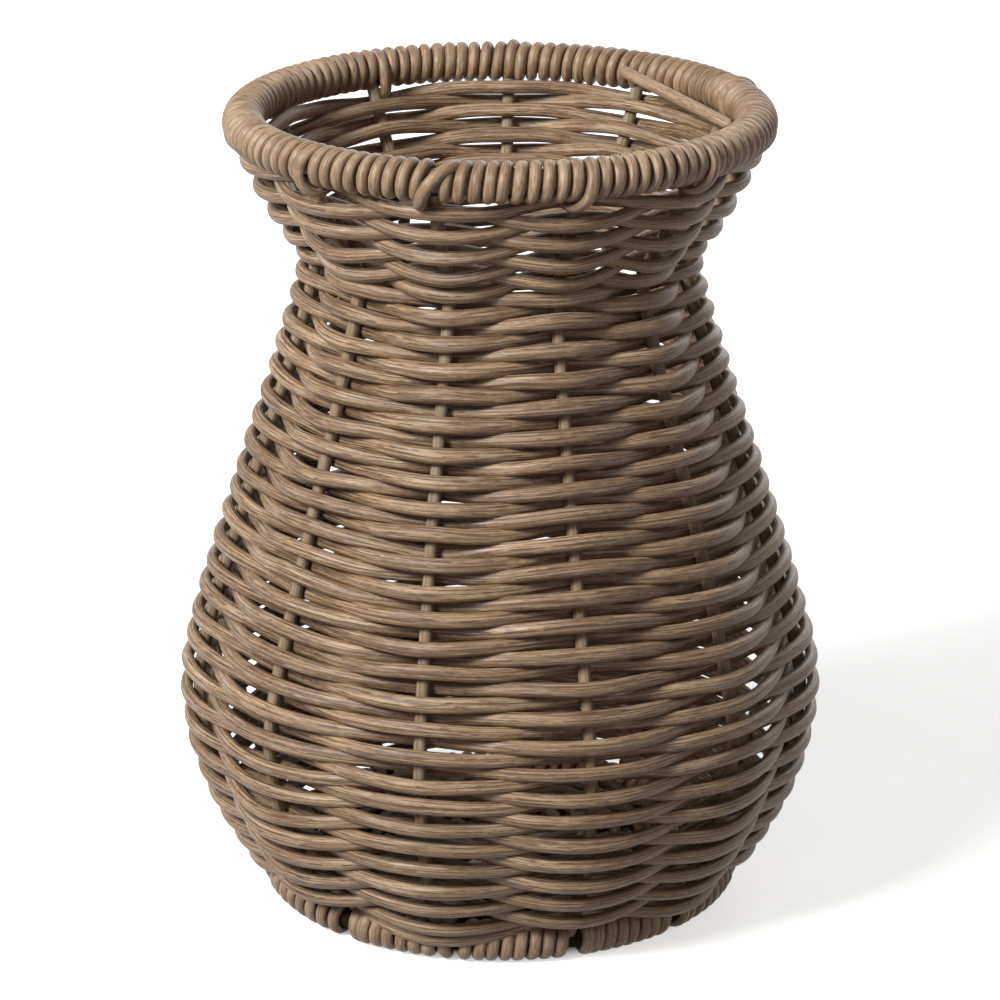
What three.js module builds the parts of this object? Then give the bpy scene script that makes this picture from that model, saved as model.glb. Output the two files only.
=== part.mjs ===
// Rattan vase. Eleven upright stakes stand between two wrapped hoops, and round strand is woven in and out of
// them in one rising spiral, pieced from several lengths. A round woven base closes the foot.
// Millimetres, +Z up. The origin is on the vase's axis, in the plane that the foot rests on.

import * as THREE from 'three';

const degree = Math.PI / 180;

// Overall sizes. Radii of the wall are to the stakes' centre line, and those of the hoops to the hoop's own
// centre.
const height = 332;
const rimRadius = 102;
const neckRadius = 74.4;
const neckHeight = 271.6;
const bellyRadius = 124.7;
const bellyHeight = 92.3;
const footRadius = 91;

// How far the wall's outline keeps its direction on each side of the foot, belly, neck and rim.
const footReach = 25.7;
const bellyReachDown = 31.2;
const bellyReachUp = 29.8;
const neckReachDown = 22.7;
const neckReachUp = 6.7;
const rimReach = 42.7;
const rimLean = 24 * degree;

// Rattan sizes.
const stakeDiameter = 5.2;
const strandDiameter = 4.9;
const hoopDiameter = 10.4;
const wrapThickness = 2.9;
const rimWrapPitch = 5.25;
const footWrapPitch = 5.7;
const baseStickDiameter = 4.5;
const baseStrandDiameter = 4.8;
const tailDiameter = 5;

// Gaps between neighbouring pieces.
const clearance = 0.35;
const rowGap = 0.45;
const wrapGap = 0.5;
const jointGap = 0.5;

// An odd number of stakes, so that one strand goes outside a stake that it went inside one turn before.
const stakePairs = 5;
const stakeCount = 2 * stakePairs + 1;
const bay = 2 * Math.PI / stakeCount;

// The stakes were set by eye: they stand a little closer together on one side of the vase.
const firstStake = -16.7 * degree;
const driftAngle = 2.4 * degree;
const driftFacing = -40 * degree;

// Crossings that one length of strand can cover at most, and the stake at the back where the weave starts. Seen
// from outside, the weave rises towards the left.
const crossingsPerStrand = 60;
const weaveStart = stakePairs;

// The wrapped hoops are drawn with five flat sides, and one side of the foot lies flat on the floor.
const hoopSides = 5;
const halfSide = Math.PI / hoopSides;
const hoopSteps = 2 * stakeCount;

// Base: how far its crossed sticks run side by side, where they have fanned out, and where its weave starts.
const crossedHalf = 8;
const fanRadius = 24;
const baseWeaveStart = 31;

// The rim wrapping starts and ends at the back, and its cut end lies inside the rim from there to the right.
const tailStart = 143 * degree;
const tailEnd = 100 * degree;
const tailSlide = 4;

const rattan = { color: 0x8f7152, roughness: 0.62, metalness: 0 };
const darkRattan = { color: 0x6f5640, roughness: 0.68, metalness: 0 };
const paleRattan = { color: 0x9c7d5c, roughness: 0.58, metalness: 0 };

const vase = new THREE.Group();

function addPiece(name, geometry, finish) {
  const mesh = new THREE.Mesh(geometry, new THREE.MeshStandardMaterial(finish));
  mesh.name = name;
  vase.add(mesh);
}

function pieceName(stem, index) {
  return `${stem}_${String(index + 1).padStart(2, '0')}`;
}

// A point at an azimuth that is 0 at the front (-Y) and turns towards +X.
function polar(azimuth, radius, z) {
  return new THREE.Vector3(radius * Math.sin(azimuth), -radius * Math.cos(azimuth), z);
}

// Azimuth of a place among the stakes: whole numbers are stakes, halves are the middles of the bays.
function stakeAzimuth(place) {
  return firstStake + place * bay + driftAngle * Math.cos(place * bay - driftFacing);
}

// Skins a row of rings that all have the same number of corners, as a bar with two ends or a closed hoop.
function skin(rings, closed) {
  const sides = rings[0].length;
  const positions = rings.flat().flatMap((corner) => corner.toArray());
  const index = [];
  const spans = closed ? rings.length : rings.length - 1;
  for (let step = 0; step < spans; step += 1) {
    const here = step * sides;
    const next = ((step + 1) % rings.length) * sides;
    for (let side = 0; side < sides; side += 1) {
      const other = (side + 1) % sides;
      index.push(here + side, next + side, next + other);
      index.push(here + side, next + other, here + other);
    }
  }
  if (!closed) {
    const last = (rings.length - 1) * sides;
    for (let side = 1; side < sides - 1; side += 1) {
      index.push(0, side, side + 1);
      index.push(last, last + side + 1, last + side);
    }
  }
  const geometry = new THREE.BufferGeometry();
  geometry.setAttribute('position', new THREE.Float32BufferAttribute(positions, 3));
  geometry.setIndex(index);
  geometry.computeVertexNormals();
  return geometry;
}

// Corners of a round bar's section round a centre, in the plane of two unit directions.
function barRing(centre, across, up, radius, sides, turn = 0) {
  return Array.from({ length: sides }, (_, side) => {
    const angle = turn + side * 2 * Math.PI / sides;
    return centre.clone()
      .addScaledVector(across, radius * Math.cos(angle))
      .addScaledVector(up, radius * Math.sin(angle));
  });
}

// Hoops. `facet` is the direction of the side that the stakes meet, as an angle in the hoop's section.
// A polygon of short chords is drawn a little large, so that it runs evenly in and out of the true circle.
const chordDrop = (1 - Math.cos(Math.PI / hoopSteps)) / (1 + Math.cos(Math.PI / hoopSteps));
const coreCorner = hoopDiameter / 2;
const wrapInner = coreCorner + (clearance + rimRadius * chordDrop) / Math.cos(halfSide);
const wrapOuter = wrapInner + wrapThickness;
const wrapFlat = wrapOuter * Math.cos(halfSide);

const foot = { radius: footRadius, height: wrapFlat, facet: Math.PI / 2 - halfSide };
const rimFacet = -Math.PI / 2 - rimLean;
const rimCorners = Array.from({ length: hoopSides }, (_, side) => rimFacet + halfSide + side * 2 * halfSide);
const rimTop = wrapOuter * Math.max(...rimCorners.map(Math.sin));
const rim = { radius: rimRadius, height: height - rimTop, facet: rimFacet };

function hoopPoint(hoop, azimuth, angle, distance) {
  return polar(azimuth, hoop.radius + distance * Math.cos(angle), hoop.height + distance * Math.sin(angle));
}

function hoopCore(hoop) {
  const rings = [];
  for (let step = 0; step < hoopSteps; step += 1) {
    const azimuth = step * 2 * Math.PI / hoopSteps;
    const ring = [];
    for (let side = 0; side < hoopSides; side += 1) {
      const angle = hoop.facet + halfSide + side * 2 * halfSide;
      const corner = hoopPoint(hoop, azimuth, angle, coreCorner);
      corner.x += hoop.radius * chordDrop * Math.sin(azimuth);
      corner.y -= hoop.radius * chordDrop * Math.cos(azimuth);
      ring.push(corner);
    }
    rings.push(ring);
  }
  return skin(rings, true);
}

// One strand wound round a hoop. Its outer face is flat and its sides close in towards the hoop, like a
// flattened length of cane. `azimuthAt` gives where the strand is after a number of turns.
function hoopWrap(hoop, turns, halfWidth, azimuthAt) {
  const rings = [];
  for (let step = 0; step <= turns * hoopSides; step += 1) {
    const azimuth = azimuthAt(step / hoopSides);
    const angle = hoop.facet + halfSide + step * 2 * halfSide;
    rings.push([
      hoopPoint(hoop, azimuth + halfWidth, angle, wrapOuter),
      hoopPoint(hoop, azimuth - halfWidth, angle, wrapOuter),
      hoopPoint(hoop, azimuth, angle, wrapInner),
    ]);
  }
  return rings;
}

// Least distance between matching corners of a winding's turns, where one turn faces the next.
function leastGap(rings, stepsPerTurn, cornerHere, cornerNext) {
  let least = Infinity;
  for (let step = 0; step + stepsPerTurn < rings.length; step += 1) {
    const gap = rings[step][cornerHere].distanceTo(rings[step + stepsPerTurn][cornerNext]);
    least = Math.min(least, gap);
  }
  return least;
}

function wrapHalfWidth(hoop, pitchAngle) {
  return (pitchAngle - wrapGap / (hoop.radius - wrapOuter)) / 2;
}

addPiece('rim_hoop', hoopCore(rim), darkRattan);
addPiece('foot_hoop', hoopCore(foot), darkRattan);

const rimLoopsPerBay = Math.floor(bay * rimRadius / rimWrapPitch);
const rimPitchAngle = bay / rimLoopsPerBay;
const rimWrap = hoopWrap(
  rim,
  rimLoopsPerBay * stakeCount - 1,
  wrapHalfWidth(rim, rimPitchAngle),
  (turns) => tailStart + turns * rimPitchAngle,
);
addPiece('rim_wrap', skin(rimWrap, false), paleRattan);
console.log(`rim_wrap: least gap to itself ${leastGap(rimWrap, hoopSides, 0, 1).toFixed(2)} mm`);

// The foot's wrapping leaves a space at each stake, and crosses it in one longer step.
const footPitchAngle = footWrapPitch / footRadius;
const footLoopsPerBay = Math.floor((bay * footRadius - stakeDiameter) / footWrapPitch);
const footRunAngle = (footLoopsPerBay - 1) * footPitchAngle;

function footWrapAzimuth(turns) {
  const bayNumber = Math.floor(turns / footLoopsPerBay);
  const local = turns - bayNumber * footLoopsPerBay;
  const crossing = Math.max(0, local - (footLoopsPerBay - 1));
  const start = stakeAzimuth(bayNumber + 0.5) - footRunAngle / 2;
  const nextStart = stakeAzimuth(bayNumber + 1.5) - footRunAngle / 2;
  return start + (local - crossing) * footPitchAngle + crossing * (nextStart - start - footRunAngle);
}

const footWrap = hoopWrap(
  foot,
  footLoopsPerBay * stakeCount - 1,
  wrapHalfWidth(foot, footPitchAngle),
  footWrapAzimuth,
);
addPiece('foot_wrap', skin(footWrap, false), rattan);
console.log(`foot_wrap: least gap to itself ${leastGap(footWrap, hoopSides, 0, 1).toFixed(2)} mm`);

// Wall. Its line leaves the foot hoop square to the hoop's upper outer side, swells to the belly, draws in to
// the neck and flares to meet the rim hoop square to its lower side.
function seat(hoop) {
  const distance = wrapFlat + clearance;
  return new THREE.Vector2(
    hoop.radius + distance * Math.cos(hoop.facet),
    hoop.height + distance * Math.sin(hoop.facet),
  );
}

function away(point, angle, distance) {
  return new THREE.Vector2(point.x + distance * Math.cos(angle), point.y + distance * Math.sin(angle));
}

const footSeat = seat(foot);
const rimSeat = seat(rim);
const lowerWall = new THREE.CubicBezierCurve(
  footSeat,
  away(footSeat, foot.facet, footReach),
  new THREE.Vector2(bellyRadius, bellyHeight - bellyReachDown),
  new THREE.Vector2(bellyRadius, bellyHeight),
);
const middleWall = new THREE.CubicBezierCurve(
  new THREE.Vector2(bellyRadius, bellyHeight),
  new THREE.Vector2(bellyRadius, bellyHeight + bellyReachUp),
  new THREE.Vector2(neckRadius, neckHeight - neckReachDown),
  new THREE.Vector2(neckRadius, neckHeight),
);
const upperWall = new THREE.CubicBezierCurve(
  new THREE.Vector2(neckRadius, neckHeight),
  new THREE.Vector2(neckRadius, neckHeight + neckReachUp),
  away(rimSeat, rim.facet, rimReach),
  rimSeat,
);
const wallLine = [
  ...lowerWall.getPoints(4),
  ...middleWall.getPoints(6).slice(1),
  ...upperWall.getPoints(4).slice(1),
];
const wallStarts = [0];
for (let step = 1; step < wallLine.length; step += 1) {
  wallStarts.push(wallStarts[step - 1] + wallLine[step].distanceTo(wallLine[step - 1]));
}
const wallRun = wallStarts[wallStarts.length - 1];

function wallDirection(step) {
  return wallLine[step + 1].clone().sub(wallLine[step]).normalize();
}

// A point that is `run` up the wall's line from the foot and `out` from it, square to the wall.
function wallPoint(azimuth, run, out) {
  let step = 0;
  while (step < wallLine.length - 2 && run > wallStarts[step + 1]) {
    step += 1;
  }
  const along = wallDirection(step);
  const distance = run - wallStarts[step];
  const radius = wallLine[step].x + along.x * distance + along.y * out;
  const z = wallLine[step].y + along.y * distance - along.x * out;
  return polar(azimuth, radius, z);
}

function wallRadius(run) {
  return Math.hypot(wallPoint(0, run, 0).x, wallPoint(0, run, 0).y);
}

// Stakes: square bars on edge, mitred where the wall's line turns.
function stakeRings(azimuth) {
  const around = new THREE.Vector3(Math.cos(azimuth), Math.sin(azimuth), 0);
  return wallLine.map((point, step) => {
    const before = wallDirection(Math.max(0, step - 1));
    const after = wallDirection(Math.min(wallLine.length - 2, step));
    const along = before.clone().add(after).normalize();
    const mitre = 1 / along.dot(after);
    const outward = polar(azimuth, along.y, -along.x).multiplyScalar(mitre);
    return barRing(polar(azimuth, point.x, point.y), around, outward, stakeDiameter / 2, 4);
  });
}

for (let stake = 0; stake < stakeCount; stake += 1) {
  addPiece(pieceName('stake', stake), skin(stakeRings(stakeAzimuth(stake)), false), rattan);
}

// Weave. The strand lies `stand` clear of a stake, measured square to the strand, which leaves it on a slant.
const firstRow = strandDiameter / 2 + clearance;
const weaveRun = wallRun - 2 * firstRow;
const turnCount = Math.floor(weaveRun / (strandDiameter + rowGap));
const rowPitch = weaveRun / turnCount;
const crossingCount = 2 * Math.floor(turnCount * stakeCount / 2);
const stand = (stakeDiameter + strandDiameter) / 2 + clearance;

function crossingOffset(run) {
  const halfBay = wallRadius(run) * bay / 2;
  return stand / Math.cos(Math.atan(stand / halfBay) + bay / 4);
}

// Even crossings pass inside their stake and odd ones outside.
function strandRing(crossing, shift) {
  const run = firstRow + rowPitch * crossing / stakeCount;
  const side = -Math.cos(crossing * Math.PI);
  const out = side * crossingOffset(run);
  const azimuth = stakeAzimuth(weaveStart - crossing) - shift / wallRadius(run);
  const half = strandDiameter / 2;
  return [
    wallPoint(azimuth, run, out + half),
    wallPoint(azimuth, run - half, out),
    wallPoint(azimuth, run, out - half),
    wallPoint(azimuth, run + half, out),
  ];
}

// The spiral is shared out evenly among its lengths. Each one starts and ends inside a stake, at an even
// crossing.
const strandCount = Math.ceil(crossingCount / crossingsPerStrand);

function jointCrossing(joint) {
  return 2 * Math.round(joint * crossingCount / (2 * strandCount));
}

let leastRowGap = Infinity;
for (let strand = 0; strand < strandCount; strand += 1) {
  const first = jointCrossing(strand);
  const last = jointCrossing(strand + 1);
  const rings = [];
  for (let half = 2 * first; half <= 2 * last; half += 1) {
    const shift = half === 2 * first ? jointGap / 2 : half === 2 * last ? -jointGap / 2 : 0;
    rings.push(strandRing(half / 2, shift));
  }
  leastRowGap = Math.min(leastRowGap, leastGap(rings, 2 * stakeCount, 3, 1));
  addPiece(pieceName('weaver', strand), skin(rings, false), rattan);
}
console.log(`weavers: least gap from turn to turn ${leastRowGap.toFixed(2)} mm`);

// Base. Three sticks cross over three, and their ends fan out as eleven spokes: one stick stops at the
// crossing.
const baseHeight = foot.height + wrapOuter * Math.sin(foot.facet + 3 * halfSide);
const spokeEnd = foot.radius + wrapOuter * Math.cos(foot.facet + 3 * halfSide) - clearance;
const stickSpacing = baseStickDiameter + clearance;
const spokeFacing = stakeAzimuth(0);

function spokePoint(spoke, radius, lift) {
  return polar(spokeFacing + spoke * bay, radius, baseHeight + lift);
}

// Each stick is given by the spokes that its two ends become, its place beside its fellows, and its layer.
function baseStick(startSpoke, endSpoke, facing, beside, layer) {
  const lift = layer * stickSpacing / 2;
  const axis = spokeFacing + facing * bay;
  const offset = polar(axis + Math.PI / 2, beside * stickSpacing, 0);
  const near = polar(axis, crossedHalf, baseHeight + lift).add(offset);
  const far = polar(axis + Math.PI, crossedHalf, baseHeight + lift).add(offset);
  const points = [spokePoint(startSpoke, spokeEnd, 0), spokePoint(startSpoke, fanRadius, 0), near, far];
  if (endSpoke !== null) {
    points.push(spokePoint(endSpoke, fanRadius, 0), spokePoint(endSpoke, spokeEnd, 0));
  }
  return points;
}

function stickRings(points) {
  const up = new THREE.Vector3(0, 0, 1);
  return points.map((point, step) => {
    const before = point.clone().sub(points[Math.max(0, step - 1)]).setZ(0).normalize();
    const after = points[Math.min(points.length - 1, step + 1)].clone().sub(point).setZ(0).normalize();
    const along = before.clone().add(after).normalize();
    const mitre = 1 / Math.max(along.dot(before), along.dot(after));
    const across = new THREE.Vector3(along.y, -along.x, 0).multiplyScalar(mitre);
    return barRing(point, across, up, baseStickDiameter / 2, 6);
  });
}

const baseSticks = [
  baseStick(0, null, 0, 0, 1),
  baseStick(1, 5, 0, 1, 1),
  baseStick(-1, -5, 0, -1, 1),
  baseStick(3, -3, stakeCount / 4, 0, -1),
  baseStick(2, -2, stakeCount / 4, -1, -1),
  baseStick(4, -4, stakeCount / 4, 1, -1),
];
baseSticks.forEach((points, index) => {
  addPiece(pieceName('base_stick', index), skin(stickRings(points), false), darkRattan);
});

const basePitch = baseStrandDiameter + rowGap;
const baseWeaveEnd = spokeEnd - baseStrandDiameter / 2;
const baseTurns = Math.floor((baseWeaveEnd - baseWeaveStart) / basePitch);
const baseCrossings = 2 * Math.floor(baseTurns * stakeCount / 2);
const baseStand = (baseStickDiameter + baseStrandDiameter) / 2 + clearance;

function baseStrandRing(crossing) {
  const radius = baseWeaveEnd - basePitch * (baseCrossings - crossing) / stakeCount;
  const lean = Math.atan(2 * baseStand / (radius * bay));
  const lift = -Math.cos(crossing * Math.PI) * baseStand / Math.cos(lean);
  const half = baseStrandDiameter / 2;
  return [
    spokePoint(crossing, radius + half, lift),
    spokePoint(crossing, radius, lift + half),
    spokePoint(crossing, radius - half, lift),
    spokePoint(crossing, radius, lift - half),
  ];
}

const baseRings = Array.from({ length: baseCrossings + 1 }, (_, crossing) => baseStrandRing(crossing));
addPiece('base_weaver', skin(baseRings, false), darkRattan);

// The rim wrapping's cut end: a straight length that lies inside the rim and meets its inner side at both
// ends.
const innerFacet = rim.facet - 2 * halfSide;

function tailPoint(azimuth, slide) {
  const distance = wrapFlat + clearance + tailDiameter / 2;
  const radius = rim.radius + distance * Math.cos(innerFacet) + slide * Math.sin(innerFacet);
  const z = rim.height + distance * Math.sin(innerFacet) - slide * Math.cos(innerFacet);
  return polar(azimuth, radius, z);
}

const tailFrom = tailPoint(tailStart, tailSlide);
const tailTo = tailPoint(tailEnd, -tailSlide);
const tailAlong = tailTo.clone().sub(tailFrom).normalize();
const tailAcross = new THREE.Vector3(tailAlong.y, -tailAlong.x, 0).normalize();
const tailUp = tailAcross.clone().cross(tailAlong);
const tailRings = [tailFrom, tailTo].map((end) => barRing(end, tailAcross, tailUp, tailDiameter / 2, 6));
addPiece('rim_wrap_tail', skin(tailRings, false), paleRattan);

export default vase;
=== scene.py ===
# Rattan vase: the looks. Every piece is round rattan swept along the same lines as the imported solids.
# Metres, +Z up, with the vase's axis at the origin and its front towards -Y.

import math

import bpy
import numpy as np
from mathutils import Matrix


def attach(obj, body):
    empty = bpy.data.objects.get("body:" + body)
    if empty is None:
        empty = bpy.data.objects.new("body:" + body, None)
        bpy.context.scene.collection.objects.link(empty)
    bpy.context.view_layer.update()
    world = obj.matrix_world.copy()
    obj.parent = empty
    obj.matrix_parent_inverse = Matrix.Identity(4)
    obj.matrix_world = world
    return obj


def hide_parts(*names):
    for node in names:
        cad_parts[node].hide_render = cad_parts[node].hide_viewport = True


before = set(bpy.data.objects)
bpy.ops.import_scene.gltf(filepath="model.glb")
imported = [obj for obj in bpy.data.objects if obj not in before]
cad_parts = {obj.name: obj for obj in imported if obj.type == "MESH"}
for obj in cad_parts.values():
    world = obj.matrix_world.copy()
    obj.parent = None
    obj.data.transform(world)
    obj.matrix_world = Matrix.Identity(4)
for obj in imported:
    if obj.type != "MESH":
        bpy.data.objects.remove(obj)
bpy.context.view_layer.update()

MM = 0.001
DEGREE = math.pi / 180

# Driving sizes of the vase, the same as the solids'.
HEIGHT = 332 * MM
RIM_RADIUS = 102 * MM
RIM_CENTRE_HEIGHT = 323.61 * MM
NECK_RADIUS = 74.4 * MM
NECK_HEIGHT = 271.6 * MM
BELLY_RADIUS = 124.7 * MM
BELLY_HEIGHT = 92.3 * MM
FOOT_RADIUS = 91 * MM

# How far each end of the wall's curves pulls them along, and how the curves meet the hoops.
FOOT_REACH = 25.7 * MM
BELLY_REACH_DOWN = 31.2 * MM
BELLY_REACH_UP = 29.8 * MM
NECK_REACH_DOWN = 22.7 * MM
NECK_REACH_UP = 6.7 * MM
RIM_REACH = 42.7 * MM
RIM_LEAN = 24 * DEGREE
FOOT_FACET = 54 * DEGREE

# The stakes' places, and the drift of these towards one side.
STAKE_PAIRS = 5
STAKES = 2 * STAKE_PAIRS + 1
BAY = 2 * math.pi / STAKES
FIRST_STAKE = -16.7 * DEGREE
DRIFT_ANGLE = 2.4 * DEGREE
DRIFT_FACING = -40 * DEGREE

# The weave. A crossing is a pass of the strand over or under a stake.
TURNS = 59
STRANDS = 11
CROSSINGS = TURNS * STAKES - 1
WEAVE_START = STAKE_PAIRS
ROW_MARGIN = 2.8 * MM
CLEARANCE = 0.35 * MM

# Points along the lines, and round the canes.
CURVE_POINTS = 160
STAKE_POINTS = 170
HOOP_POINTS = 240
STEPS_PER_BAY = 20
BASE_STEPS_PER_BAY = 12
LOOP_STEPS = 36
SIDES = 24
FEWER_SIDES = 16

UPWARD = np.array([0.0, 0.0, 1.0])

rng = np.random.default_rng(11)


def polar(azimuth, radius, z):
    """A point, or many, at an azimuth that is 0 at the front and turns towards +X."""
    azimuth, radius, z = np.broadcast_arrays(azimuth, radius, z)
    return np.stack([radius * np.sin(azimuth), -radius * np.cos(azimuth), z], axis=-1)


def unit(vectors):
    return vectors / np.linalg.norm(vectors, axis=-1, keepdims=True)


def ease(share):
    """Starts and ends gently on the way from 0 to 1."""
    return share * share * (3 - 2 * share)


def stake_azimuth(place):
    """Whole places are stakes and halves are the middles of the bays."""
    return FIRST_STAKE + place * BAY + DRIFT_ANGLE * np.cos(place * BAY - DRIFT_FACING)


def smooth_noise(knots, count, amplitude):
    """Values at `count` even steps that run smoothly through random values at the knots."""
    values = rng.normal(0, amplitude, knots + 1)
    place = np.linspace(0, knots, count)
    low = np.minimum(place.astype(int), knots - 1)
    share = ease(place - low)
    return values[low] * (1 - share) + values[low + 1] * share


# The camera and the light.
CAMERA_BACK = 1.7171
CAMERA_HEIGHT = 0.7399
CAMERA_TARGET_HEIGHT = 0.1637
CAMERA_LENS = 159.49
SENSOR_WIDTH = 36
CLIP_END = 100


def add_camera():
    data = bpy.data.cameras.new("camera")
    data.lens = CAMERA_LENS
    data.sensor_width = SENSOR_WIDTH
    data.clip_end = CLIP_END
    camera = bpy.data.objects.new("camera", data)
    pitch = math.atan2(CAMERA_HEIGHT - CAMERA_TARGET_HEIGHT, CAMERA_BACK)
    camera.location = (0, -CAMERA_BACK, CAMERA_HEIGHT)
    camera.rotation_euler = (math.pi / 2 - pitch, 0, 0)
    bpy.context.scene.collection.objects.link(camera)
    bpy.context.scene.camera = camera


# Name, place, width and watts. All of them face the middle of the vase.
LAMPS = (
    ("key", (-1.55, -1.43, 1.68), 0.8, 87),
    ("top", (0.1, -0.7, 2.5), 1.6, 4),
    ("fill", (0.5, -2.5, 0.7), 1.8, 4.5),
    ("back", (1.1, 2.2, 1.2), 1.8, 26),
)


def add_lamp(name, location, size, power):
    data = bpy.data.lights.new(name, "AREA")
    data.shape = "SQUARE"
    data.size = size
    data.energy = power
    lamp = bpy.data.objects.new(name, data)
    lamp.location = location
    direction = np.array([0, 0, HEIGHT / 2]) - np.array(location)
    yaw = math.atan2(direction[1], direction[0])
    drop = math.atan2(-direction[2], math.hypot(direction[0], direction[1]))
    lamp.rotation_euler = (math.pi / 2 - drop, 0, yaw - math.pi / 2)
    bpy.context.scene.collection.objects.link(lamp)


def maths(tree, operation, first, second=0):
    """The result of a maths node. Each operand is a number or the output of another node."""
    node = tree.nodes.new("ShaderNodeMath")
    node.operation = operation
    for socket, value in zip(node.inputs, (first, second)):
        if isinstance(value, (int, float)):
            socket.default_value = value
        else:
            tree.links.new(value, socket)
    return node.outputs[0]


def map_range(tree, source, source_range, result_range=(0, 1), interpolation="LINEAR"):
    node = tree.nodes.new("ShaderNodeMapRange")
    node.interpolation_type = interpolation
    names = ("From Min", "From Max", "To Min", "To Max")
    for name, value in zip(names, (*source_range, *result_range)):
        node.inputs[name].default_value = value
    tree.links.new(source, node.inputs["Value"])
    return node.outputs["Result"]


def coloured(tree, kind, colour):
    node = tree.nodes.new(kind)
    node.inputs["Color"].default_value = colour
    return node


def seen_and_unseen(tree, seen, unseen):
    """`seen` for rays from the camera, and for those that a mirror or glass sends on, and otherwise `unseen`."""
    path = tree.nodes.new("ShaderNodeLightPath")
    direct = maths(tree, "MAXIMUM", path.outputs["Is Camera Ray"], path.outputs["Is Glossy Ray"])
    direct = maths(tree, "MAXIMUM", direct, path.outputs["Is Transmission Ray"])
    mix = tree.nodes.new("ShaderNodeMixShader")
    for source, socket in zip((direct, unseen.outputs[0], seen.outputs[0]), mix.inputs):
        tree.links.new(source, socket)
    return mix.outputs[0]


WHITE = (1, 1, 1, 1)
WORLD_STRENGTH = 0.032


def set_world():
    world = bpy.data.worlds.new("studio")
    world.use_nodes = True
    tree = world.node_tree
    tree.nodes.clear()
    shown = coloured(tree, "ShaderNodeBackground", WHITE)
    ambient = coloured(tree, "ShaderNodeBackground", WHITE)
    ambient.inputs["Strength"].default_value = WORLD_STRENGTH
    out = tree.nodes.new("ShaderNodeOutputWorld")
    tree.links.new(seen_and_unseen(tree, shown, ambient), out.inputs[0])
    bpy.context.scene.world = world


FLOOR_SIZE = 12
FLOOR_COLOUR = (0.75, 0.75, 0.75, 1)
FLOOR_BOUNCE = (0.11, 0.099, 0.087, 1)
# The glow grows from the near distance to the far one, and starts at the shade's edge.
NEAR_FLOOR, FAR_FLOOR = 0.25, 1.2
NEAR_FLOOR_GLOW, FAR_FLOOR_GLOW = 0.66, 0.95
SHADE_RADIUS = 0.094
SHADE_EDGE = 0.01


def add_floor():
    """A white floor. Its own faint glow shows only to the camera, so that the paper reads as white, and stops
    under the vase, where the foot keeps the light out."""
    half = FLOOR_SIZE / 2
    corners = [(-half, -half, 0), (half, -half, 0), (half, half, 0), (-half, half, 0)]
    mesh = bpy.data.meshes.new("floor")
    mesh.from_pydata(corners, [], [(0, 1, 2, 3)])
    floor = bpy.data.objects.new("floor", mesh)
    bpy.context.scene.collection.objects.link(floor)

    material = bpy.data.materials.new("white_floor")
    material.use_nodes = True
    tree = material.node_tree
    tree.nodes.clear()
    place = tree.nodes.new("ShaderNodeTexCoord")
    distance = tree.nodes.new("ShaderNodeVectorMath")
    distance.operation = "LENGTH"
    tree.links.new(place.outputs["Object"], distance.inputs[0])
    away = distance.outputs["Value"]
    growing = map_range(tree, away, (NEAR_FLOOR, FAR_FLOOR), (NEAR_FLOOR_GLOW, FAR_FLOOR_GLOW))
    outside = map_range(tree, away, (SHADE_RADIUS - SHADE_EDGE, SHADE_RADIUS))
    glow = tree.nodes.new("ShaderNodeEmission")
    tree.links.new(maths(tree, "MULTIPLY", growing, outside), glow.inputs["Strength"])
    paper = coloured(tree, "ShaderNodeBsdfDiffuse", FLOOR_COLOUR)
    both = tree.nodes.new("ShaderNodeAddShader")
    tree.links.new(paper.outputs[0], both.inputs[0])
    tree.links.new(glow.outputs[0], both.inputs[1])
    bounce = coloured(tree, "ShaderNodeBsdfDiffuse", FLOOR_BOUNCE)
    out = tree.nodes.new("ShaderNodeOutputMaterial")
    tree.links.new(seen_and_unseen(tree, both, bounce), out.inputs[0])
    mesh.materials.append(material)


bpy.context.scene.view_settings.view_transform = "Standard"
add_camera()
set_world()
add_floor()
for lamp_facts in LAMPS:
    add_lamp(*lamp_facts)


# Rattan's material. Each piece carries its own `grain`: millimetres along the cane, and the place round its section.
RIDGE_STRAY = 14
# How dark the grooves are, and the painted shade on the sides of close turns.
GROOVE_AND_SIDE_SHADE_DARKNESS = 0.55
ROUGHNESS_SPREAD = 0.1
BUMP_STRENGTH = 0.5
BUMP_DEPTH = 0.35 * MM


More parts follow.
